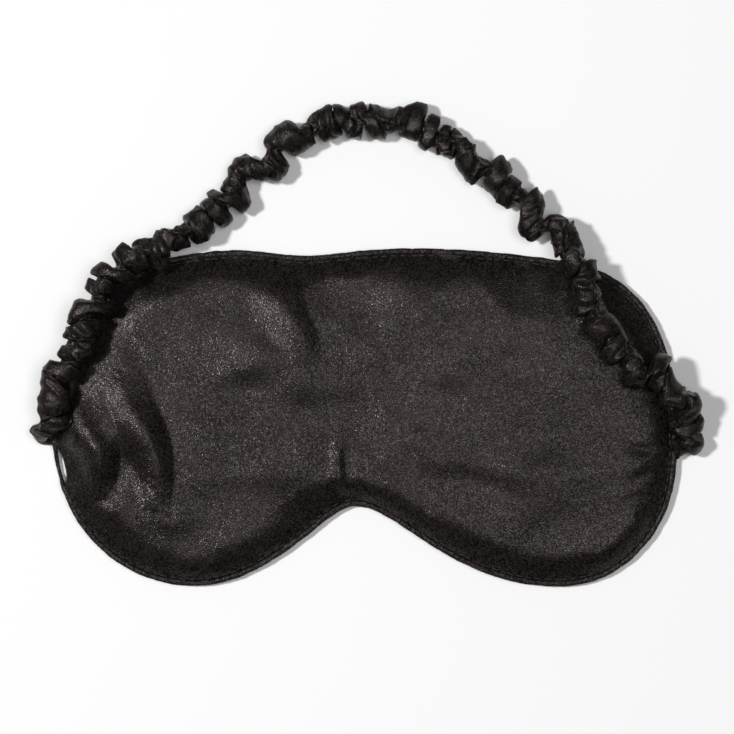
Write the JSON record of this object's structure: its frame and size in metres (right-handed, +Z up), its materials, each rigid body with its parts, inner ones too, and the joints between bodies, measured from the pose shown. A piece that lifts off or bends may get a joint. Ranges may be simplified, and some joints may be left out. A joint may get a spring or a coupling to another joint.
{
  "type": "sleep eye mask",
  "caption": "Padded satin sleep eye mask with bound edge, nose notch and a gathered elastic head strap lying back over its face side.",
  "frame": {"origin": "centre of the footprint on the surface that the outer panel rests on", "axes": "+X to the mask's right end as seen from above, +Y to the brow edge and the strap's loop, +Z up, out of the face side"},
  "size_m": [0.2269, 0.1623, 0.0187],
  "materials": {
    "satin": "black polyester satin, soft sheen with a fine bright grain",
    "binding_satin": "black bias-cut satin, folded and stitched",
    "strap_satin": "black satin gathered into dense ruffles",
    "lining": "matt black close-woven lining",
    "wadding": "white polyester wadding",
    "elastic": "black ribbed woven elastic",
    "thread": "black polyester sewing thread"
  },
  "bodies": {
    "mask": {"outer_panel": "satin", "blackout_lining": "lining", "padding": "wadding", "face_panel": "satin", "edge_binding": "binding_satin", "binding_stitches": "thread", "strap_end_left": "strap_satin", "strap_end_right": "strap_satin", "strap_end_stitches": "thread"},
    "strap": {"sleeve_left": "strap_satin", "sleeve_right": "strap_satin", "elastic_left": "elastic", "elastic_right": "elastic"},
    "strap_crown": {"sleeve_crown": "strap_satin", "elastic_crown": "elastic"}
  },
  "joints": [
    {"name": "strap_swing", "type": "hinge", "parent": "mask", "child": "strap", "pos_m": [-0.1114, -0.0305, 0.00275], "axis": [0.9998, -0.0205, 0], "range_deg": [0, 110]},
    {"name": "strap_stretch", "type": "slide", "parent": "strap", "child": "strap_crown", "axis": [0, 1, 0], "range_m": [0, 0.06], "stiffness_N_per_m": 25}
  ]
}
